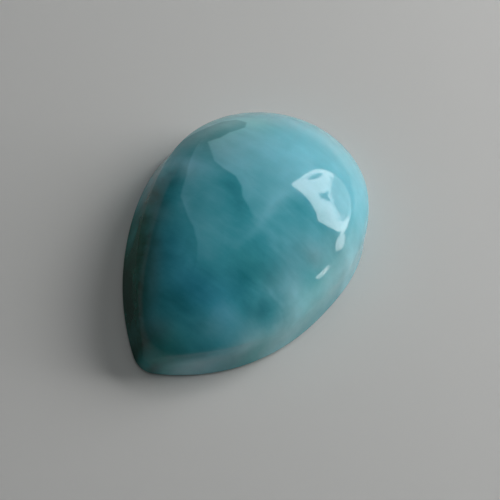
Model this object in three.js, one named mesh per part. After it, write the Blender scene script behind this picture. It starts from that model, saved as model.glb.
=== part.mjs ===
// Larimar cabochon: one drop of blue pectolite, ground and polished by hand, with a flat back.
// Millimetres, +Z up. The origin is the middle of the flat back, and the point lies towards -Y.
import * as THREE from "three";
import { ParametricGeometry } from "three/addons/geometries/ParametricGeometry.js";

// Size of the cut stone
const LENGTH = 18;
const WIDTH = 12.85;
const THICKNESS = 5.7;
const END_DEPTH = 7; // from the widest line to the round end
const POINT_DEPTH = LENGTH - END_DEPTH;
const NOSE_RADIUS = 1.3; // the point, at the foot of the side

// Hand cutting left three soft swells round the outline
const SWELL = 0.02; // as a share of the distance from the middle of the widest line
const SWELL_ANGLE = THREE.MathUtils.degToRad(56); // the first swell, from +X

// Side wall between the flat back and the dome: its height and how far it leans in at its top
const FOOT_BEVEL = 0.25; // the worn edge of the flat back
const FLANK_HEIGHT = 2.8;
const FLANK_LEAN = 0.5;
const END_HEIGHT = 2.6;
const END_LEAN = 0.3;
const POINT_HEIGHT = 1.05;
const POINT_LEAN = 0.08;
const CREST_NOSE_RADIUS = 0.35; // the point, where the wall meets the dome

// Dome
const FULLNESS = 2.3; // exponent of its section, where 2 is an ellipse
const TAPER = 0.38; // share of its width that the dome has lost at the point

// Steps along each stretch of the outline, and rings up the dome
const END_STEPS = 48;
const FLANK_STEPS = 18;
const NOSE_STEPS = 12;
const DOME_RINGS = 22;
const STEPS_AROUND = END_STEPS + 2 * FLANK_STEPS + NOSE_STEPS;

const POLISHED_LARIMAR = new THREE.MeshStandardMaterial({ color: 0x3f8f9c, roughness: 0.16, metalness: 0 });

function arc(x, y, radiusX, radiusY, from, to, steps) {
  return new THREE.EllipseCurve(x, y, radiusX, radiusY, from, to).getPoints(steps).slice(0, -1);
}

function swell(x, y) {
  return 1 + SWELL * Math.cos(3 * (Math.atan2(y, x) - SWELL_ANGLE));
}

// Pear outline round the middle of its widest line: half an ellipse, then a flank, the nose and the
// other flank, all of them arcs that meet with a common tangent
function pearOutline(half, endDepth, pointDepth, noseRadius) {
  const noseY = noseRadius - pointDepth;
  const flankRadius = (half * half + noseY * noseY - noseRadius * noseRadius) / (2 * (half - noseRadius));
  const flankX = flankRadius - half;
  const turn = Math.atan2(-noseY, flankX);
  return [
    ...arc(0, 0, half, endDepth, 0, Math.PI, END_STEPS),
    ...arc(flankX, 0, flankRadius, flankRadius, Math.PI, Math.PI + turn, FLANK_STEPS),
    ...arc(0, noseY, noseRadius, noseRadius, Math.PI + turn, 2 * Math.PI - turn, NOSE_STEPS),
    ...arc(-flankX, 0, flankRadius, flankRadius, -turn, 0, FLANK_STEPS),
  ];
}

// The dome's size where it would reach the back, so that it has the given height at the crest
function domeReach(crestReach, crestHeight) {
  return crestReach / (1 - (crestHeight / THICKNESS) ** FULLNESS) ** (1 / FULLNESS);
}

const crestHalf = WIDTH / 2 - FLANK_LEAN;
const crestEnd = END_DEPTH - END_LEAN;
const crestPoint = POINT_DEPTH - POINT_LEAN;
const crest = pearOutline(crestHalf, crestEnd, crestPoint, CREST_NOSE_RADIUS);
const domeHalf = domeReach(crestHalf, FLANK_HEIGHT);
const domeEnd = domeReach(crestEnd, END_HEIGHT);
const domePoint = domeReach(crestPoint, POINT_HEIGHT);

// Height of the dome: an egg-shaped mound that narrows towards the point. The wall cuts it off, so the
// crest is low at the point, where the wall stands out furthest.
function domeHeight(x, y) {
  const along = y > 0 ? y / domeEnd : y / domePoint;
  const narrowing = y > 0 ? 1 : 1 - TAPER * along * along;
  const out = (x / domeHalf) ** 2 / narrowing + along * along;
  return THICKNESS * (1 - out ** (FULLNESS / 2)) ** (1 / FULLNESS);
}

// A ring of the dome over the crest's pear shrunk to a share of its size
function domeRing(share) {
  return crest.map(({ x, y }) => {
    const out = share * swell(x, y);
    return new THREE.Vector3(x * out, y * out, domeHeight(x * share, y * share));
  });
}

// A ring of the foot's pear, drawn in by an inset
function footRing(inset, height) {
  const ring = pearOutline(WIDTH / 2 - inset, END_DEPTH - inset, POINT_DEPTH - inset, NOSE_RADIUS - inset);
  return ring.map(({ x, y }) => new THREE.Vector3(x * swell(x, y), y * swell(x, y), height));
}

// The whole skin, ring by ring, from the middle of the flat back to the top of the dome
const rings = [crest.map(() => new THREE.Vector3(0, 0, 0)), footRing(FOOT_BEVEL, 0), footRing(0, FOOT_BEVEL)];
for (let ring = 0; ring < DOME_RINGS; ring += 1) {
  rings.push(domeRing(Math.cos((ring / DOME_RINGS) * (Math.PI / 2))));
}
rings.push(domeRing(0));

function skinPoint(around, up, target) {
  const ring = rings[Math.round(up * (rings.length - 1))];
  target.copy(ring[Math.round(around * STEPS_AROUND) % STEPS_AROUND]);
}

const skin = new ParametricGeometry(skinPoint, STEPS_AROUND, rings.length - 1);
skin.computeBoundingBox();
const middle = skin.boundingBox.getCenter(new THREE.Vector3());

const cabochon = new THREE.Mesh(skin, POLISHED_LARIMAR);
cabochon.name = "larimar_cabochon";
cabochon.position.set(-middle.x, -middle.y, 0);

const part = new THREE.Group();
part.add(cabochon);
export default part;
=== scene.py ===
import bpy
import numpy as np
from mathutils import Matrix, Vector


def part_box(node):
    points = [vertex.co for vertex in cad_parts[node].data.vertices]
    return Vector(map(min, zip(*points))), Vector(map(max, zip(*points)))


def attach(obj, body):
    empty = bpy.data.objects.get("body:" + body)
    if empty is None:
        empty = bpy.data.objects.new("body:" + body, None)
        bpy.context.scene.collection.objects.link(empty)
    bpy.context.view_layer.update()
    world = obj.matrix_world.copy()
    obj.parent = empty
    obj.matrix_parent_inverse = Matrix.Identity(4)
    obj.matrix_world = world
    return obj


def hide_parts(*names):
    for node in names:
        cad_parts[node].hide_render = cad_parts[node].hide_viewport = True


# A polished pear-shaped larimar cabochon on a plain pale table, by soft window light

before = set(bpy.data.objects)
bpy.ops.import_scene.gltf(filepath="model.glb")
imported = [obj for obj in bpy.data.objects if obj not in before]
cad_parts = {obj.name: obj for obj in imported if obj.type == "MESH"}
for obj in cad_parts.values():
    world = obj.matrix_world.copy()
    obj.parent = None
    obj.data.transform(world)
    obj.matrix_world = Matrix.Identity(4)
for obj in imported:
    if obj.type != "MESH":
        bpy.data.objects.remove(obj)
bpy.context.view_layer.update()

MM = 0.001

# The cut, in millimetres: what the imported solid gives, and what the same drop was cut with
LOW, HIGH = (np.array(corner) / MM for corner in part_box("larimar_cabochon"))
WIDTH = HIGH[0] - LOW[0]
THICKNESS = HIGH[2] - LOW[2]
LENGTH = 18.0
END_DEPTH = 7.0  # from the widest line to the round end
POINT_DEPTH = LENGTH - END_DEPTH
NOSE_RADIUS = 1.3  # the point, at the foot of the side wall
SWELL = 0.02  # three soft swells, as a share of the distance from the middle of the widest line
SWELL_ANGLE = np.radians(56)  # the first swell, from +X

# Side wall between the flat back and the dome: its height and how far it leans in at its top
FOOT_BEVEL = 0.25  # the worn edge of the flat back
BACK_RIM = 0.05  # width of the ring that keeps the flat back's shading flat
FLANK_HEIGHT = 2.8
FLANK_LEAN = 0.5
END_HEIGHT = 2.6
END_LEAN = 0.3
POINT_HEIGHT = 1.05
POINT_LEAN = 0.08
CREST_NOSE_RADIUS = 0.35  # the point, where the wall meets the dome

# The crest's bend into the dome: how far down the wall it starts, and the share of the crest's size at
# which it ends. It is crisp, and softer down the right flank, where it changes between two distances from
# the middle.
CRISP_BEND = (0.08, 0.993)
SOFT_BEND = (0.55, 0.955)
SOFT_STRETCH = (3.5, 5.3)

# Dome
FULLNESS = 2.3  # exponent of its section, where 2 is an ellipse
TAPER = 0.38  # share of its squared width that it has lost at the point

# Steps along each stretch of the outline, and rings of each zone of the surface
END_STEPS = 210
FLANK_STEPS = 110
NOSE_STEPS = 50
BEND_RINGS = 8
WALL_RINGS = 24
DOME_RINGS = 130

# Camera, from the photograph's view: tilted from the plumb line towards the point, then rolled
CAMERA_TILT = 27.1
CAMERA_AZIMUTH = 10.9
CAMERA_ROLL = 26.4
CAMERA_DISTANCE = 120.0
CAMERA_REACH = 10000.0  # how far it sees
SENSOR_WIDTH = 36.0
PIXELS_PER_MM = 17.365
IMAGE_SIZE = 500
WIDEST_PIXEL = (252.1, 230.3)  # where the middle of the foot's widest line falls in the picture

# Light. Directions are (azimuth from +X towards +Y, elevation), in degrees, seen from the glint on the
# dome. A pane of daylight spans 3 by 3 of them.
GLINT = (3.3, 5.2, 4.0)
PANE_DISTANCE = 150.0
PANE_STEPS = 97  # points along each way of a pane
WINDOW = [
    [(92, 57), (66, 53), (41, 44)],
    [(87, 42), (62, 32), (36, 28)],
    [(83, 30), (59, 7.5), (35.5, 9)],
]
LOWER_PANE = [
    [(36, 12.5), (33, 14.2), (29, 14.3)],
    [(35, 6), (31.5, 8), (27, 11)],
    [(31.8, 0.8), (29, 0.2), (26, 6.5)],
]
LAST_PANE = [
    [(21.9, 2.2), (19.6, 5), (17.0, 6.4)],
    [(22, 0.4), (19.7, 1.8), (17.2, 3)],
    [(21.6, -1.4), (19.8, -1.4), (17.8, -0.4)],
]
WINDOW_GLOW = 7.2
PANE_GLOW = 5.2
PANE_COLOUR = (1.0, 0.99, 1.0)

# Dim stretches of the window: azimuth, elevation, reach each way, turn, share of the glow that is left
DIM_STRETCHES = [
    (60, 15, 16, 17, 0, 0.26),
    (61.5, 38.5, 6.5, 2.4, 42, 0.08),
    (62.7, 38.5, 5.5, 1.6, -75, 0.2),
    (81, 39.5, 1.8, 7, -15, 0.1),
    (42.8, 18.5, 1.2, 5, 0, 0.45),
]
DIM_EDGE = (0.85, 1.15)  # shares of its reach between which a dim stretch ends
RAGGED = 0.10  # how far that edge wanders in waves, as a share of the reach
RAGGED_ACROSS = 1.1  # radians of the waves for each degree of azimuth
RAGGED_START = 2.0  # radians of the waves at azimuth 0
RAGGED_UP = 0.9  # radians of the waves for each degree of elevation

# A soft light overhead, and the room's dim light
FILL_PLACE = (-80.0, 0.0, 400.0)
FILL_SIZE = 400.0
FILL_POWER = 0.287
FILL_COLOUR = (0.96, 0.99, 1.0)
ROOM_COLOUR = (0.9, 0.97, 1.0)
ROOM_GLOW = 0.05

# Table, and a dark card that lies just above it on the left and fades into its colour towards the round
# end. Only the polish sees the card: it is painted shade, a dark sheet that stands for the shadow beside
# the stone in the reflections on the left wall.
TABLE_HALF = 2000.0
TABLE_COLOUR = (0.64, 0.64, 0.62)
TABLE_ROUGHNESS = 0.9
CARD = [(-6.3, 1.0), (0.0, -9.6), (-12.0, -12.0), (-30.0, -8.0), (-30.0, 1.0)]
CARD_HEIGHT = 0.02
SHADE_CARD_COLOUR = (0.26, 0.36, 0.31)
CARD_FADE = (-2.5, 0.5)

# Markings, in millimetres of the plan. The stone's milkiness is BASE_MILK plus what the rest adds. A stretch
# says where a marking starts and where it is full.
BASE_MILK = 0.42
POINT_MILK = -0.06  # what the half towards the point adds
POINT_STRETCH = (-2.0, -5.0)
LEAST_MILK = 0.02
DIP = (0.25, 0.2)  # how far the markings shift in plan for each millimetre below the dome
# The wall's markings include painted reflection of the table and painted shade
WALL_DEPTH = (0.2, 0.9)  # depths below the dome between which the wall's own markings come in

# The pale upper plate lies on the right hand of a walk along this line, and the middle plate on the right
# hand of a walk along the next one
UPPER_EDGE = [
    (12.0, 1.3), (6.0, 2.4), (3.2, 2.9), (1.9, 2.9), (1.2, 2.2), (0.9, 1.4), (0.9, 0.6), (0.8, 0.0),
    (0.4, -0.15), (-0.1, 0.1), (-0.9, 0.5), (-1.3, 1.0), (-1.9, 1.32), (-2.72, 1.38), (-3.42, 1.55),
    (-4.03, 2.15), (-4.5, 2.62), (-4.05, 3.2), (-3.85, 3.8), (-3.55, 4.25), (-3.35, 4.65), (-3.5, 5.1),
    (-4.1, 5.1), (-4.7, 4.6), (-5.2, 3.8), (-5.8, 2.8), (-9.0, -2.0),
]
MIDDLE_EDGE = [
    (-0.1, -5.3), (-0.5, -4.4), (-0.73, -3.9), (-1.26, -3.15), (-2.0, -2.48), (-2.6, -2.12), (-3.1, -1.7),
    (-3.68, -1.2), (-3.94, -0.6), (-4.15, 0.0), (-4.43, 0.6), (-4.64, 1.2), (-4.84, 2.0), (-4.95, 3.5),
]
UPPER_MILK = 0.13
UPPER_END_MILK = 0.08  # what the upper plate adds to that towards the round end
UPPER_END_STRETCH = (-0.5, 2.0)
MIDDLE_MILK = 0.13
MIDDLE_FADE = 1.3  # distance over which the middle plate fades to 1/e
MIDDLE_LOWER_STRETCH = (-5.5, -1.8)
MIDDLE_UPPER_STRETCH = (3.0, 1.8)
EDGE_SOFTNESS = 0.06
RIGHT_SOFTNESS = 0.6  # what the upper plate's edge adds to that on the right
RIGHT_STRETCH = (-0.5, 2.0)

# Soft lines of milk: the points, the breadth and the strength. The dark line down the left flank is partly
# the stone's deep colour and partly painted shade on the side turned from the light.
VEIN = [(0.9, 0.8), (0.85, -0.2), (0.8, -1.1), (0.55, -2.0)]
RIGHT_FLANK = [(5.9, 2.2), (5.8, -0.5), (5.4, -2.5), (4.9, -4.2), (4.5, -5.2)]
SHADED_LEFT_FLANK = [
    (-5.5, -1.0), (-4.9, -2.8), (-4.2, -4.2), (-3.4, -5.6), (-2.5, -6.9), (-1.6, -8.1), (-0.9, -8.8),
]
SEAMS = [
    (VEIN, 0.3, 0.06),
    (RIGHT_FLANK, 0.8, 0.14),
    # Painted shade, with the stone's own darkness, down the shaded left flank
    (SHADED_LEFT_FLANK, 0.95, -0.31),
]

# Soft clouds, here and in the lists below: x, y, reach, breadth, turn in degrees, strength
DARK_POOLS = [
    (-1.8, 0.75, 0.9, 0.45, -25, -0.09),
    (-0.7, -0.05, 0.9, 0.4, -35, -0.06),
    (-0.7, -0.5, 0.9, 0.5, -30, -0.04),
    (0.2, 0.9, 0.9, 0.9, 0, -0.07),
    (-0.6, 2.0, 0.9, 0.8, 0, -0.08),
    (-4.6, -0.5, 0.6, 0.4, -60, -0.06),
    (-4.4, -2.0, 0.9, 0.7, -50, -0.10),
    (-2.6, -1.7, 1.0, 0.5, -40, -0.03),
    (-2.8, -3.8, 1.3, 0.7, -40, -0.04),
    (-1.9, -4.9, 1.3, 0.6, -50, -0.04),
    (0.1, -4.4, 1.0, 0.9, -60, -0.05),
    (-0.2, -6.1, 1.4, 0.9, 20, -0.10),
    (0.2, -8.4, 0.9, 0.7, 0, -0.08),
    (1.3, -8.4, 0.9, 0.5, 40, -0.08),
    (1.0, -1.7, 0.9, 0.8, 30, -0.06),
    (2.0, -2.8, 1.2, 0.9, 30, -0.11),
    (3.3, -4.0, 1.0, 0.6, 20, -0.06),
    (4.2, -3.6, 0.9, 0.9, 0, -0.10),
    (4.8, -2.8, 0.7, 0.5, 0, -0.06),
    (-5.2, 4.9, 1.6, 0.5, 55, -0.10),
    (2.9, -0.2, 0.8, 0.4, 0, -0.03),
    (2.2, -2.9, 0.6, 0.6, 0, -0.05),
    (4.7, -2.5, 0.7, 0.6, 0, -0.04),
    (-3.1, -3.7, 0.8, 0.7, 0, -0.04),
    (-5.2, 1.8, 0.5, 0.6, 0, -0.05),
]
PALE_PATCHES = [
    (2.4, -5.2, 1.2, 0.7, 20, 0.12),
    (3.6, -6.0, 0.8, 1.2, 20, 0.05),
    (4.5, -4.6, 0.8, 1.6, -20, 0.14),
    (4.2, -1.8, 0.8, 1.4, 0, 0.10),
    (4.6, -1.7, 0.9, 1.3, 0, 0.08),
    (4.6, 1.2, 0.6, 0.9, 0, 0.09),
    (5.3, -1.6, 0.7, 1.2, 0, 0.07),
    (5.8, 0.8, 0.6, 1.6, 0, 0.08),
    (6.0, -3.4, 0.8, 1.2, 0, 0.06),
    (2.9, 1.0, 1.2, 1.2, 0, 0.06),
    (1.9, 0.4, 1.2, 0.5, 10, 0.05),
    (1.3, 1.6, 0.8, 0.5, 0, 0.05),
    (0.6, 1.3, 0.8, 0.35, 0, 0.04),
    (1.2, 0.4, 0.7, 0.35, 0, 0.045),
    (3.2, -3.1, 0.6, 0.5, 0, 0.05),
    (2.4, -5.8, 0.7, 0.6, 0, 0.03),
    (-4.3, 0.9, 0.5, 0.6, 0, 0.05),
    (0.4, 4.6, 1.2, 1.2, 0, 0.06),
    (-1.1, -4.9, 0.8, 0.8, 0, 0.04),
    (-4.5, -2.3, 0.8, 0.35, -20, 0.09),
    (-5.0, -0.9, 0.8, 0.2, -10, 0.06),
    (-5.6, -1.2, 0.5, 0.8, 20, 0.10),
    (-5.6, 0.7, 0.6, 0.8, 0, 0.08),
    (-4.6, 0.7, 0.8, 0.4, -50, 0.16),
    (-3.8, 0.7, 0.6, 0.5, 0, 0.05),
    (-3.6, 1.0, 0.9, 0.5, -20, 0.05),
    (-4.1, 2.7, 0.6, 0.5, -50, 0.05),
    (-5.3, 2.2, 0.8, 0.5, 80, 0.03),
    (-3.9, 3.8, 0.5, 0.5, 0, 0.05),
    (-4.3, 4.5, 1.3, 0.5, 50, 0.12),
    (-4.8, 5.2, 1.8, 1.0, 60, 0.08),
    (-3.2, 5.0, 0.7, 0.4, 20, 0.08),
]
# On the side wall alone: patches of the stone's own tone, with painted reflection of the pale table along
# the foot and painted shade on the left wall
WALL_PATCHES_SHEEN_AND_SHADE = [
    # These two paint the pale table's reflection along the foot
    (2.7, -7.4, 1.3, 0.6, 45, 0.25),
    (1.6, -8.2, 1.0, 0.6, 40, 0.13),
    (4.7, -5.1, 1.3, 0.7, 55, -0.22),
    (0.6, -9.0, 1.4, 0.8, 35, -0.13),
    # Painted shade on the left wall
    (-2.6, -6.2, 2.2, 0.8, -57, -0.07),
    (-4.5, -3.2, 1.0, 0.8, -57, 0.15),
    (-5.5, -1.0, 1.2, 0.8, -65, 0.14),
]

# Where the colour leans to blue (to green where the strength is below 0), and where it is chalky
BLUE_CLOUDS = [
    (-2.4, -4.2, 1.8, 1.2, -40, 0.6),
    (0.2, -5.2, 1.5, 1.0, 0, 0.9),
    (1.6, -4.2, 1.0, 1.0, 0, 0.3),
    (2.3, -5.4, 1.2, 0.8, 0, 0.3),
    (-4.3, 0.9, 0.8, 0.5, 0, 0.2),
    (-4.5, 4.0, 2.0, 1.2, 80, -0.9),
    (-3.0, 5.5, 1.0, 1.0, 0, -0.7),
    (5.5, 0.0, 1.2, 4.0, 0, -0.7),
    (2.0, -2.4, 1.2, 0.8, 0, -0.3),
    (4.9, -4.9, 1.6, 0.7, 60, -0.8),
    (1.2, -9.4, 2.2, 1.1, 30, -1.5),
    (0.3, -8.2, 1.2, 0.9, 0, -0.9),
    (-4.1, -4.6, 4.5, 0.9, -57, -1.7),
]
CHALKY_CLOUDS = [
    (-4.8, 4.4, 2.4, 1.2, 60, 0.45),
    (-2.5, 6.6, 2.2, 1.2, 20, 0.40),
    (1.5, 7.2, 2.5, 1.0, -10, 0.40),
    (0.6, 8.0, 2.2, 0.6, -5, 0.25),
    (-2.7, 4.2, 1.2, 0.9, 0, 0.20),
    (-3.5, 2.6, 1.5, 1.0, 0, 0.30),
    (-4.6, 0.3, 0.6, 0.8, 0, 0.30),
    (5.9, 2.2, 0.8, 3.0, 0, 0.45),
    (4.6, 2.0, 0.8, 1.3, 0, 0.30),
    (3.4, -0.4, 1.1, 1.8, 0, 0.22),
    (4.2, 0.6, 0.8, 0.6, 0, 0.34),
    (2.0, -6.2, 0.9, 0.6, 30, 0.12),
    (3.4, -2.2, 1.0, 0.7, 75, 0.15),
    (4.9, -2.4, 0.8, 1.7, 20, 0.34),
    (4.3, -5.4, 0.8, 1.6, 20, 0.27),
    (-0.2, -7.8, 0.8, 0.6, 0, 0.30),
    (-2.5, -5.3, 3.2, 0.45, -56, 0.30),
    (-4.1, -2.4, 0.8, 0.5, -30, 0.22),
]
# On the wall: chalky patches, which also paint the pale table's reflection along the foot
CHALKY_WALL_AND_SHEEN = [
    (2.8, -7.3, 1.6, 0.8, 45, 0.60),
    (0.7, -8.8, 0.8, 0.6, 0, 0.50),
    (5.8, -2.1, 1.4, 0.6, 70, 0.30),
]

# Where pale strands show through
STRANDS = [
    (2.8, 0.3, 2.0, 1.3, 0, 1.0),
    (3.8, -2.6, 1.6, 1.4, 0, 0.8),
    (-2.2, 4.2, 2.0, 1.2, 0, 0.3),
    (-5.0, -0.6, 1.2, 1.4, 0, 0.7),
    (-3.0, -3.6, 1.5, 1.2, 0, 0.3),
]

# Colour for each milkiness, from the deep blue-green to the pale sky blue
TONES = [
    (0.0, (0.0, 0.0, 0.0)),
    (0.07, (0.002, 0.07, 0.06)),
    (0.2, (0.013, 0.2, 0.23)),
    (0.3, (0.032, 0.3, 0.36)),
    (0.4, (0.062, 0.4, 0.48)),
    (0.5, (0.123, 0.5, 0.59)),
    (0.6, (0.2, 0.6, 0.7)),
    (0.7, (0.265, 0.7, 0.82)),
    (0.8, (0.35, 0.8, 0.9)),
]
GREENER = (1.0, 1.0, 0.8)
BLUER = (1.0, 1.0, 1.2)
TINT_MIDDLE = 0.5  # where the tint lies between those two with no cloud
TINT_STEP = 0.325  # how far a blue cloud of strength 1 moves it
# The chalk colour also carries the wall's painted reflection of the table
CHALK = (0.62, 1.0, 1.07)  # where it is chalky, the colour is this times the milkiness

# Fine patterns in the material. Scales are in cycles a millimetre along x, y and z, and a depth is how much
# milk the pattern moves.
CLOUD = dict(scale=(0.9, 0.9, 0.9), detail=4.0, roughness=0.5, distortion=0.4)
CLOUD_DEPTH = 0.12
FIBRE = dict(scale=(0.35, 1.5, 0.9), detail=4.0, roughness=0.55, distortion=0.5)
FIBRE_DEPTH = 0.10
HAIR = dict(scale=(0.45, 3.2, 2.0), detail=4.0, roughness=0.6, distortion=0.8)
HAIR_DEPTH = 0.06
GRAIN = dict(scale=(9.0, 9.0, 9.0), detail=2.0, roughness=0.5, distortion=0.0)
GRAIN_DEPTH = 0.02
NOISE_MIDDLE = 0.5

# Strands: the pattern's values between which one goes from nothing to full, and what it adds at each
STRAND = dict(scale=(0.3, 1.1, 0.9), shift=(-0.15, 1.7, 0.0), detail=1.5, roughness=0.5, distortion=0.3)
STRAND_RANGE = (0.42, 0.78)
STRAND_DEPTHS = (-0.03, 0.16)

# Streaks round the rim, on the rim's own coordinates
STREAK = dict(scale=(1.4, 1.4, 9.0), detail=3.0, roughness=0.5, distortion=0.3)
STREAK_DEPTH = 0.26
RIM = (0.7, 0.95)  # shares of the way out to the outline between which the streaks come in

# The polish wavers a little, by a depth in millimetres
WAVER = dict(scale=(1.6, 1.6, 1.6), detail=2.0, roughness=0.5, distortion=0.0)
WAVER_DEPTH = 0.003

# Surface: a glassy polish, with the back and the foot of the wall ground satin
POLISH = 0.06
SATIN = 0.4
SATIN_HEIGHT = 0.3
IOR = 1.46

# Light that soaks into the stone: its share, the reach of each colour, and the millimetres in a reach of 1
GLOW_THROUGH = 0.5
GLOW_REACH = (0.5, 1.0, 1.0)
GLOW_SCALE = 0.4


def swell(x, y):
    """Three soft swells round the outline, as a factor: 1 + SWELL cos 3 (angle - SWELL_ANGLE)."""
    return 1 + SWELL * np.cos(3 * (np.arctan2(y, x) - SWELL_ANGLE))


def pear_outline(half, end_depth, point_depth, nose_radius):
    """A pear outline round the middle of its widest line: half an ellipse, a flank arc, the nose arc and
    the other flank arc, all of them meeting with a common tangent. A flank's centre is on the widest line,
    and its radius is (half^2 + nose_y^2 - nose^2) / 2 (half - nose)."""
    nose_y = nose_radius - point_depth
    flank_radius = (half**2 + nose_y**2 - nose_radius**2) / (2 * (half - nose_radius))
    flank_x = flank_radius - half
    turn = np.arctan2(-nose_y, flank_x)
    end_angle = np.pi * np.linspace(0, 1, END_STEPS, endpoint=False)
    left_angle = np.pi + turn * np.linspace(0, 1, FLANK_STEPS, endpoint=False)
    nose_angle = np.linspace(np.pi + turn, 2 * np.pi - turn, NOSE_STEPS, endpoint=False)
    right_angle = np.linspace(-turn, 0, FLANK_STEPS, endpoint=False)
    x = [
        half * np.cos(end_angle),
        flank_x + flank_radius * np.cos(left_angle),
        nose_radius * np.cos(nose_angle),
        -flank_x + flank_radius * np.cos(right_angle),
    ]
    y = [
        end_depth * np.sin(end_angle),
        flank_radius * np.sin(left_angle),
        nose_y + nose_radius * np.sin(nose_angle),
        flank_radius * np.sin(right_angle),
    ]
    return np.concatenate(x), np.concatenate(y)


def dome_reach(crest_reach, crest_height):
    """Where the dome would reach the back: crest reach / (1 - (crest height / thickness)^n)^(1/n)."""
    return crest_reach / (1 - (crest_height / THICKNESS) ** FULLNESS) ** (1 / FULLNESS)


CREST_HALF = WIDTH / 2 - FLANK_LEAN
CREST_END = END_DEPTH - END_LEAN
CREST_POINT = POINT_DEPTH - POINT_LEAN
DOME_HALF = dome_reach(CREST_HALF, FLANK_HEIGHT)
DOME_END = dome_reach(CREST_END, END_HEIGHT)
DOME_POINT = dome_reach(CREST_POINT, POINT_HEIGHT)


def dome_height(x, y):
    """An egg-shaped mound: thickness (1 - q^n)^(1/n), where q^2 = (x/half)^2 / w + (y/depth)^2. On the side
    of the point, w = 1 - TAPER (y/depth)^2 narrows it; on the side of the round end, w is 1."""
    along = np.where(y > 0, y / DOME_END, y / DOME_POINT)
    narrowing = np.where(y > 0, 1, 1 - TAPER * along**2)
    out = (x / DOME_HALF) ** 2 / narrowing + along**2
    return THICKNESS * (1 - out ** (FULLNESS / 2)) ** (1 / FULLNESS)


def dome_ring(share):
    """Points of the dome over the crest's pear shrunk to a share of its size. The share is one number, or
    one for each point of each ring."""
    crest_x, crest_y = pear_outline(CREST_HALF, CREST_END, CREST_POINT, CREST_NOSE_RADIUS)
    x, y = crest_x * share, crest_y * share
    return np.stack([x * swell(x, y), y * swell(x, y), dome_height(x, y)], axis=-1)


def foot_ring(inset, z):
    """One ring of the foot's pear, drawn in by an inset, at height z."""
    x, y = pear_outline(WIDTH / 2 - inset, END_DEPTH - inset, POINT_DEPTH - inset, NOSE_RADIUS - inset)
    return np.stack([x * swell(x, y), y * swell(x, y), np.full_like(x, z)], axis=-1)


# From the middle of the widest line to the row frame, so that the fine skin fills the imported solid's box
FOOT = foot_ring(0.0, 0.0)[:, :2]
TO_ROW = (HIGH - LOW)[:2] / np.ptp(FOOT, axis=0)
WIDEST_MIDDLE = LOW[:2] - FOOT.min(axis=0) * TO_ROW


def ease(start, full, value):
    """From 0 at the start to 1 where it is full, by 3t^2 - 2t^3, where t is the share of the way there."""
    t = np.clip((value - start) / (full - start), 0, 1)
    return t * t * (3 - 2 * t)


def bend(before, corner, after):
    """Rings along the quadratic curve (1-t)^2 before + 2t(1-t) corner + t^2 after."""
    t = np.linspace(0, 1, BEND_RINGS)[:, None, None]
    return (1 - t) ** 2 * before + 2 * t * (1 - t) * corner + t**2 * after


def stone_surface():
    """The whole skin as rings of points from the rim of the back, over the foot's round edge, up the wall
    and over the crest to the top, each ring running round the same stations of the outline. The wall is
    straight from foot to crest, and the dome's rings close in as the sine of an even angle."""
    foot = foot_ring(0.0, FOOT_BEVEL)
    crest = dome_ring(1.0)
    softness = ease(*SOFT_STRETCH, crest[:, 0])
    start, end = (crisp + (soft - crisp) * softness for crisp, soft in zip(CRISP_BEND, SOFT_BEND))
    wall = foot - crest
    wall_end = crest + wall * start[:, None] / np.linalg.norm(wall, axis=-1, keepdims=True)
    climb = np.linspace(0, 1, WALL_RINGS)[1:-1, None, None]
    share = np.sin(np.arcsin(end) * np.linspace(1, 0, DOME_RINGS)[1:-1, None])
    return np.concatenate(
        [
            foot_ring(FOOT_BEVEL + BACK_RIM, 0.0)[None],
            bend(foot_ring(FOOT_BEVEL, 0.0), foot_ring(0.0, 0.0), foot),
            foot + (wall_end - foot) * climb,
            bend(wall_end, crest, dome_ring(end)),
            dome_ring(share),
        ]
    )


def piece(name, points, faces, smooth=False):
    """A mesh object from points in millimetres."""
    mesh = bpy.data.meshes.new(name)
    mesh.from_pydata((points * MM).tolist(), [], faces)
    if smooth:
        mesh.shade_smooth()
    made = bpy.data.objects.new(name, mesh)
    bpy.context.scene.collection.objects.link(made)
    return made


def closed_skin(name, rings, points):
    """A mesh through the rings: quads between neighbours, and a fan of triangles to a point at each end.
    The points are those of the rings, one ring after the other, then the bottom and the top."""
    count, around = rings.shape[:2]
    station = np.arange(around)
    beside = (station + 1) % around
    ring = np.arange(count - 1)[:, None] * around
    corners = [ring + station, ring + beside, ring + around + beside, ring + around + station]
    quads = np.stack(corners, axis=-1)
    last = (count - 1) * around
    under = np.stack([np.full(around, last + around), beside, station], axis=-1)
    over = np.stack([last + station, last + beside, np.full(around, last + around + 1)], axis=-1)
    faces = quads.reshape(-1, 4).tolist() + under.tolist() + over.tolist()
    return piece(name, points, faces, smooth=True)


def edge_distance(x, y, line):
    """Signed distance to an open line of straight runs: positive on the left of its direction of travel."""
    start, end = np.array(line[:-1], float), np.array(line[1:], float)
    run = end - start
    from_start = np.stack([x, y], axis=-1)[..., None, :] - start
    share = np.clip((from_start * run).sum(-1) / (run**2).sum(-1), 0, 1)
    off = from_start - share[..., None] * run
    away = np.hypot(off[..., 0], off[..., 1])
    nearest = away.argmin(-1)[..., None]
    side = run[:, 0] * from_start[..., 1] - run[:, 1] * from_start[..., 0]
    return (np.take_along_axis(away, nearest, -1) * np.sign(np.take_along_axis(side, nearest, -1)))[..., 0]


def clouds(x, y, spots):
    """Sum of soft clouds, each strength exp(-r^2), with r measured in its own reach, turned by an angle."""
    total = np.zeros_like(x)
    for middle_x, middle_y, reach, breadth, angle, strength in spots:
        turn = np.radians(angle)
        along = (x - middle_x) * np.cos(turn) + (y - middle_y) * np.sin(turn)
        over = (y - middle_y) * np.cos(turn) - (x - middle_x) * np.sin(turn)
        total += strength * np.exp(-((along / reach) ** 2) - (over / breadth) ** 2)
    return total


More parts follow.
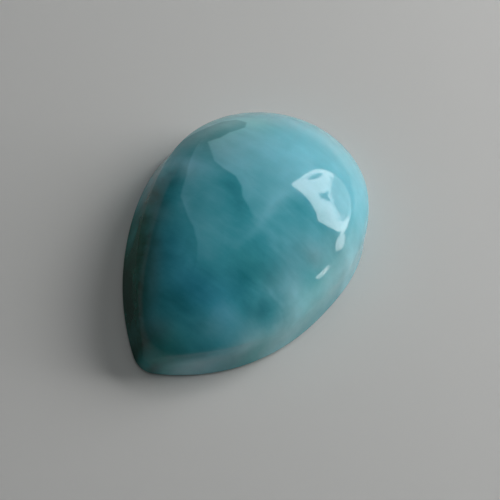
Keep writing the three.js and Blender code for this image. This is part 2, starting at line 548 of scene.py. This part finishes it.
def milk_field(x, y, on_wall):
    """How milky the stone is: its base, the two plates with their stepped edges, the soft seams strength
    exp(-(distance/breadth)^2), and the clouds. The middle plate fades as exp(-distance/fade). The seam down
    the left flank also paints shade there, and the wall's patches paint the table's reflection and shade."""
    softness = EDGE_SOFTNESS + RIGHT_SOFTNESS * ease(*RIGHT_STRETCH, x)
    below_upper = ease(-softness, softness, edge_distance(x, y, UPPER_EDGE))
    into_middle = -edge_distance(x, y, MIDDLE_EDGE)
    middle = ease(-EDGE_SOFTNESS, EDGE_SOFTNESS, into_middle) * below_upper
    middle *= np.exp(-np.maximum(into_middle, 0) / MIDDLE_FADE)
    middle *= ease(*MIDDLE_LOWER_STRETCH, y) * ease(*MIDDLE_UPPER_STRETCH, y)
    milk = BASE_MILK + POINT_MILK * ease(*POINT_STRETCH, y)
    milk += (UPPER_MILK + UPPER_END_MILK * ease(*UPPER_END_STRETCH, y)) * (1 - below_upper)
    milk += MIDDLE_MILK * middle
    # The seam down the left flank paints shade there as well as the stone's darkness
    for line, breadth, strength in SEAMS:
        milk += strength * np.exp(-((edge_distance(x, y, line) / breadth) ** 2))
    milk += clouds(x, y, DARK_POOLS + PALE_PATCHES)
    # The wall's patches add painted reflection along the foot and painted shade on the left wall
    milk += clouds(x, y, WALL_PATCHES_SHEEN_AND_SHADE) * on_wall
    return np.maximum(milk, LEAST_MILK)


def mark(stone, points, depth):
    """The markings as point attributes. Each point looks them up where it lies in plan, shifted by DIP
    times its depth below the dome. The rim's own coordinates are cos and sin of the angle round the middle
    of the widest line, and the way out q, where q^2 = (x / half the width)^2 + (y/depth)^2."""
    x = points[:, 0] + DIP[0] * depth
    y = points[:, 1] + DIP[1] * depth
    on_wall = ease(*WALL_DEPTH, depth)
    across = points[:, 0] - WIDEST_MIDDLE[0]
    along = points[:, 1] - WIDEST_MIDDLE[1]
    angle = np.arctan2(along, across)
    out = np.hypot(across / (WIDTH / 2), np.where(along > 0, along / END_DEPTH, along / POINT_DEPTH))
    # milk carries the left flank's painted shade and the wall's painted reflection and shade; chalk carries
    # the wall's painted reflection too
    fields = {
        "milk": milk_field(x, y, on_wall),
        "blue": clouds(x, y, BLUE_CLOUDS),
        "chalk": clouds(x, y, CHALKY_CLOUDS) + clouds(x, y, CHALKY_WALL_AND_SHEEN) * on_wall,
        "strands": clouds(x, y, STRANDS),
        "near_rim": ease(*RIM, out),
    }
    for name, values in fields.items():
        stone.data.attributes.new(name, "FLOAT", "POINT").data.foreach_set("value", values)
    rim = np.stack([np.cos(angle), np.sin(angle), out], axis=-1)
    stone.data.attributes.new("rim", "FLOAT_VECTOR", "POINT").data.foreach_set("vector", rim.ravel())


def make_stone():
    """The whole stone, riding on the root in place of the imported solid. A point's depth is how far it lies
    below the dome, carried on past the crest."""
    rings = stone_surface()
    x, y, z = np.moveaxis(rings, -1, 0)
    depth = np.maximum(dome_height(x / swell(x, y), y / swell(x, y)), z) - z
    rings[..., :2] = rings[..., :2] * TO_ROW + WIDEST_MIDDLE
    points = np.concatenate([rings.reshape(-1, 3), [(*WIDEST_MIDDLE, 0), (*WIDEST_MIDDLE, THICKNESS)]])
    stone = closed_skin("larimar", rings, points)
    mark(stone, points, np.concatenate([depth.ravel(), [THICKNESS, 0]]))
    stone.data.materials.append(larimar_material())
    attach(stone, "root")
    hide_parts("larimar_cabochon")


class Wiring:
    """A new material, and short words for making and joining its nodes."""

    def __init__(self, name):
        self.material = bpy.data.materials.new(name)
        self.material.use_nodes = True
        self.tree = self.material.node_tree
        self.shader = self.tree.nodes["Principled BSDF"]

    def feed(self, node, values):
        """Gives a node a value or a link for each named or numbered socket."""
        for socket, value in values.items():
            if isinstance(value, bpy.types.NodeSocket):
                self.tree.links.new(value, node.inputs[socket])
            else:
                node.inputs[socket].default_value = value

    def node(self, kind, values, **settings):
        """A new node with its settings, fed with values and links."""
        node = self.tree.nodes.new("ShaderNode" + kind)
        for key, value in settings.items():
            setattr(node, key, value)
        self.feed(node, values)
        return node

    def place(self):
        """Where a point lies, in millimetres."""
        metres = self.node("TexCoord", {}).outputs["Object"]
        return self.node("Mapping", {"Vector": metres, "Scale": (1 / MM, 1 / MM, 1 / MM)}).outputs[0]

    def attribute(self, name, output="Fac"):
        """One of the piece's point attributes, as a number unless another output is named."""
        return self.node("Attribute", {}, attribute_name=name).outputs[output]

    def math(self, operation, first, second, third=0.0):
        """What the named operation makes of two or three numbers."""
        return self.node("Math", {0: first, 1: second, 2: third}, operation=operation).outputs[0]

    def mix(self, factor, first, second, blend="MIX"):
        """Two colours blended by a factor. The node's colours are its sockets 6 and 7, and come out of 2."""
        values = {0: factor, 6: first, 7: second}
        return self.node("Mix", values, data_type="RGBA", blend_type=blend).outputs[2]

    def soft_range(self, value, before, after):
        """Moves a value smoothly from the range before to the range after."""
        values = {0: value, 1: before[0], 2: before[1], 3: after[0], 4: after[1]}
        return self.node("MapRange", values, interpolation_type="SMOOTHSTEP").outputs[0]

    def ramp(self, value, tones):
        """The colour for a value, between the tones' (value, colour)."""
        ramp = self.node("ValToRGB", {"Fac": value})
        stops = ramp.color_ramp.elements
        stops.remove(stops[1])
        stops[0].position, colour = tones[0]
        stops[0].color = (*colour, 1)
        for position, colour in tones[1:]:
            stops.new(position).color = (*colour, 1)
        return ramp.outputs["Color"]

    def pattern(self, place, scale, detail, roughness, distortion, shift=(0.0, 0.0, 0.0)):
        """Soft noise over a place, scaled and shifted each way."""
        spot = self.node("Mapping", {"Vector": place, "Location": shift, "Scale": scale}).outputs[0]
        values = {"Vector": spot, "Scale": 1.0, "Detail": detail, "Roughness": roughness}
        return self.node("TexNoise", {**values, "Distortion": distortion}).outputs["Fac"]

    def stir(self, total, pattern, depth):
        """Adds a pattern, less its middle value, times a depth."""
        swing = self.math("SUBTRACT", pattern, NOISE_MIDDLE)
        return self.math("MULTIPLY_ADD", swing, depth, total)


def larimar_material():
    """Milkiness from the markings and the fine patterns, through the tones, then the tint and the chalk."""
    wiring = Wiring("larimar")
    place = wiring.place()
    milk = wiring.attribute("milk")
    depths = [(CLOUD, CLOUD_DEPTH), (FIBRE, FIBRE_DEPTH), (HAIR, HAIR_DEPTH), (GRAIN, GRAIN_DEPTH)]
    for pattern, depth in depths:
        milk = wiring.stir(milk, wiring.pattern(place, **pattern), depth)
    strand = wiring.soft_range(wiring.pattern(place, **STRAND), STRAND_RANGE, STRAND_DEPTHS)
    milk = wiring.math("MULTIPLY_ADD", strand, wiring.attribute("strands"), milk)
    streak_depth = wiring.math("MULTIPLY", wiring.attribute("near_rim"), STREAK_DEPTH)
    milk = wiring.stir(milk, wiring.pattern(wiring.attribute("rim", "Vector"), **STREAK), streak_depth)
    milk = wiring.math("MAXIMUM", milk, LEAST_MILK)
    toward_blue = wiring.math("MULTIPLY_ADD", wiring.attribute("blue"), TINT_STEP, TINT_MIDDLE)
    tint = wiring.mix(toward_blue, (*GREENER, 1), (*BLUER, 1))
    tone = wiring.mix(1.0, wiring.ramp(milk, TONES), tint, "MULTIPLY")
    grey = wiring.node("CombineColor", {0: milk, 1: milk, 2: milk}).outputs[0]
    chalky = wiring.mix(1.0, (*CHALK, 1), grey, "MULTIPLY")
    height = wiring.node("SeparateXYZ", {0: place}).outputs["Z"]
    waver = {"Height": wiring.pattern(place, **WAVER), "Strength": 1.0, "Distance": WAVER_DEPTH * MM}
    finish = {
        "Base Color": wiring.mix(wiring.attribute("chalk"), tone, chalky),
        "Roughness": wiring.soft_range(height, (0.0, SATIN_HEIGHT), (SATIN, POLISH)),
        "Normal": wiring.node("Bump", waver).outputs[0],
        "IOR": IOR,
        "Subsurface Weight": GLOW_THROUGH,
        "Subsurface Radius": GLOW_REACH,
        "Subsurface Scale": GLOW_SCALE * MM,
    }
    wiring.feed(wiring.shader, finish)
    return wiring.material


def make_camera():
    """A long lens at the photograph's angle. Back is the way from the stone to the camera."""
    azimuth, tilt, roll = np.radians([CAMERA_AZIMUTH, CAMERA_TILT, CAMERA_ROLL])
    back = np.array([np.sin(azimuth) * np.sin(tilt), -np.cos(azimuth) * np.sin(tilt), np.cos(tilt)])
    level_up = np.array([0, 0, 1]) - back[2] * back
    level_up /= np.linalg.norm(level_up)
    level_right = np.cross(level_up, back)
    right = level_right * np.cos(roll) + level_up * np.sin(roll)
    up = -level_right * np.sin(roll) + level_up * np.cos(roll)
    aim = (IMAGE_SIZE / 2 - np.array(WIDEST_PIXEL)) / PIXELS_PER_MM
    place = np.array([*WIDEST_MIDDLE, 0]) + back * CAMERA_DISTANCE + right * aim[0] - up * aim[1]
    data = bpy.data.cameras.new("camera")
    data.sensor_width = SENSOR_WIDTH
    data.lens = SENSOR_WIDTH * PIXELS_PER_MM * CAMERA_DISTANCE / IMAGE_SIZE
    data.clip_start = MM
    data.clip_end = CAMERA_REACH * MM
    camera = bpy.data.objects.new("camera", data)
    turn = Matrix(np.stack([right, up, back], axis=-1).tolist()).to_4x4()
    camera.matrix_world = Matrix.Translation(Vector((place * MM).tolist())) @ turn
    bpy.context.scene.collection.objects.link(camera)
    bpy.context.scene.camera = camera


def toward(azimuth, elevation):
    """Unit vectors: azimuth from +X towards +Y, elevation above the table, in degrees."""
    turn, rise = np.radians(azimuth), np.radians(elevation)
    return np.stack([np.cos(turn) * np.cos(rise), np.sin(turn) * np.cos(rise), np.sin(rise)], axis=-1)


def window_share(azimuth, elevation):
    """The window's glow: 1, times the share of each dim stretch. The soft edge of a stretch is an ellipse
    that wanders by a sine of the azimuth times a sine of the elevation."""
    wander = RAGGED * np.sin(RAGGED_ACROSS * azimuth + RAGGED_START) * np.sin(RAGGED_UP * elevation)
    glow = np.ones_like(azimuth)
    for middle, height, across, up, angle, share in DIM_STRETCHES:
        turn = np.radians(angle)
        along = (azimuth - middle) * np.cos(turn) + (elevation - height) * np.sin(turn)
        over = (elevation - height) * np.cos(turn) - (azimuth - middle) * np.sin(turn)
        out = np.hypot(along / across, over / up) + wander
        glow *= share + (1 - share) * ease(*DIM_EDGE, out)
    return glow


def pane_grid(nodes):
    """A grid of directions through 3 by 3 nodes, by the quadratic through 0, 1/2 and 1 each way."""
    t = np.linspace(0, 1, PANE_STEPS)
    weights = np.stack([2 * (t - 0.5) * (t - 1), 4 * t * (1 - t), 2 * t * (t - 0.5)], axis=-1)
    return np.einsum("ia,jb,abc->cij", weights, weights, np.array(nodes, float))


def make_pane(name, nodes, glow):
    """A pane of daylight, which the camera does not see. Its points are the glint plus the pane's distance
    times each direction. The glow is one strength for the pane, or one for each direction."""
    azimuth, elevation = pane_grid(nodes)
    points = (GLINT + PANE_DISTANCE * toward(azimuth, elevation)).reshape(-1, 3)
    index = np.arange(azimuth.size).reshape(azimuth.shape)
    quads = np.stack([index[:-1, :-1], index[:-1, 1:], index[1:, 1:], index[1:, :-1]], axis=-1)
    pane = piece(name, points, quads.reshape(-1, 4).tolist())
    values = np.broadcast_to(glow, azimuth.shape).ravel()
    pane.data.attributes.new("glow", "FLOAT", "POINT").data.foreach_set("value", values)
    pane.visible_camera = False
    wiring = Wiring(name)
    light = wiring.node("Emission", {"Color": (*PANE_COLOUR, 1), "Strength": wiring.attribute("glow")})
    wiring.tree.nodes.remove(wiring.shader)
    wiring.feed(wiring.tree.nodes["Material Output"], {"Surface": light.outputs[0]})
    pane.data.materials.append(wiring.material)


def make_fill():
    """A wide soft light overhead that leaves no reflection."""
    data = bpy.data.lights.new("fill", "AREA")
    data.size = FILL_SIZE * MM
    data.energy = FILL_POWER
    data.color = FILL_COLOUR
    light = bpy.data.objects.new("fill", data)
    light.location = Vector(FILL_PLACE) * MM
    light.rotation_mode = "QUATERNION"
    light.rotation_quaternion = Vector(FILL_PLACE).to_track_quat("Z", "Y")
    light.visible_glossy = False
    light.visible_camera = False
    bpy.context.scene.collection.objects.link(light)


def make_table():
    """A plain matt table top under the stone."""
    corners = np.array([(-1, -1, 0), (1, -1, 0), (1, 1, 0), (-1, 1, 0)]) * TABLE_HALF
    table = piece("table", corners, [(0, 1, 2, 3)])
    wiring = Wiring("table")
    wiring.feed(wiring.shader, {"Base Color": (*TABLE_COLOUR, 1), "Roughness": TABLE_ROUGHNESS})
    table.data.materials.append(wiring.material)


def make_card():
    """The dark card, seen by the polish and by nothing else, which fades into the table's colour. It is
    painted shade in the reflections on the left wall.
    """
    corners = np.array([(x, y, CARD_HEIGHT) for x, y in CARD])
    card = piece("card", corners, [tuple(range(len(CARD)))])
    card.visible_camera = False
    card.visible_diffuse = False
    card.visible_shadow = False
    wiring = Wiring("card")
    along = wiring.node("SeparateXYZ", {0: wiring.place()}).outputs["Y"]
    faded = wiring.soft_range(along, CARD_FADE, (0.0, 1.0))
    colour = wiring.mix(faded, (*SHADE_CARD_COLOUR, 1), (*TABLE_COLOUR, 1))
    wiring.feed(wiring.shader, {"Base Color": colour, "Roughness": TABLE_ROUGHNESS})
    card.data.materials.append(wiring.material)


def make_room():
    """The room's dim even light."""
    room = bpy.data.worlds.new("room")
    room.use_nodes = True
    background = room.node_tree.nodes["Background"].inputs
    background["Color"].default_value = (*ROOM_COLOUR, 1)
    background["Strength"].default_value = ROOM_GLOW
    bpy.context.scene.world = room


make_stone()
make_table()
make_card()
make_camera()
make_pane("window", WINDOW, WINDOW_GLOW * window_share(*pane_grid(WINDOW)))
make_pane("lower_pane", LOWER_PANE, PANE_GLOW)
make_pane("last_pane", LAST_PANE, PANE_GLOW)
make_fill()
make_room()
bpy.context.scene.view_settings.view_transform = "Standard"
